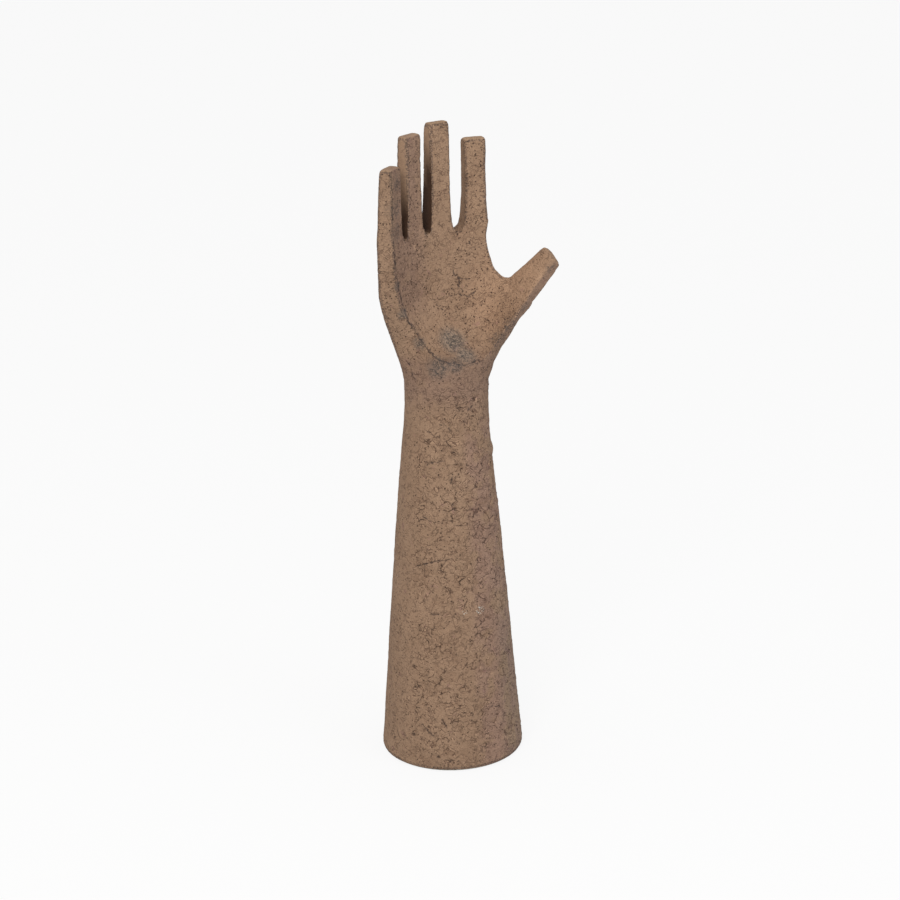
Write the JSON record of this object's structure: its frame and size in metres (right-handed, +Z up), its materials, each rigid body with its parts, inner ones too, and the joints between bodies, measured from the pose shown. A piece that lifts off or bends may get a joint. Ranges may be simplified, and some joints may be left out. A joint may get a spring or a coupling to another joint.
{
  "type": "hand sculpture",
  "caption": "Open right hand with a cupped palm, standing upright on a tapered forearm, in rough cracked dry clay, made to stand on a shelf or table.",
  "frame": {"origin": "centre of the foot's underside, on the surface that it stands on", "axes": "+Z up along the forearm to the fingertips, -Y out of the palm, +X towards the thumb"},
  "size_m": [0.1326, 0.1054, 0.48],
  "materials": {
    "clay": "dry, matt, cracked and flaked, unglazed",
    "steel": "plain drawn wire",
    "pine": "turned, unfinished",
    "fibreboard": "sawn, unfinished",
    "felt": "pressed felt"
  },
  "bodies": {
    "root": {"base_felt": "felt", "base_board": "fibreboard", "forearm_shell": "clay", "wrist_plug": "pine", "palm": "clay", "little_finger": "clay", "ring_finger": "clay", "middle_finger": "clay", "index_finger": "clay", "thumb": "clay", "little_finger_rod": "steel", "ring_finger_rod": "steel", "middle_finger_rod": "steel", "index_finger_rod": "steel", "thumb_rod": "steel"}
  },
  "joints": []
}
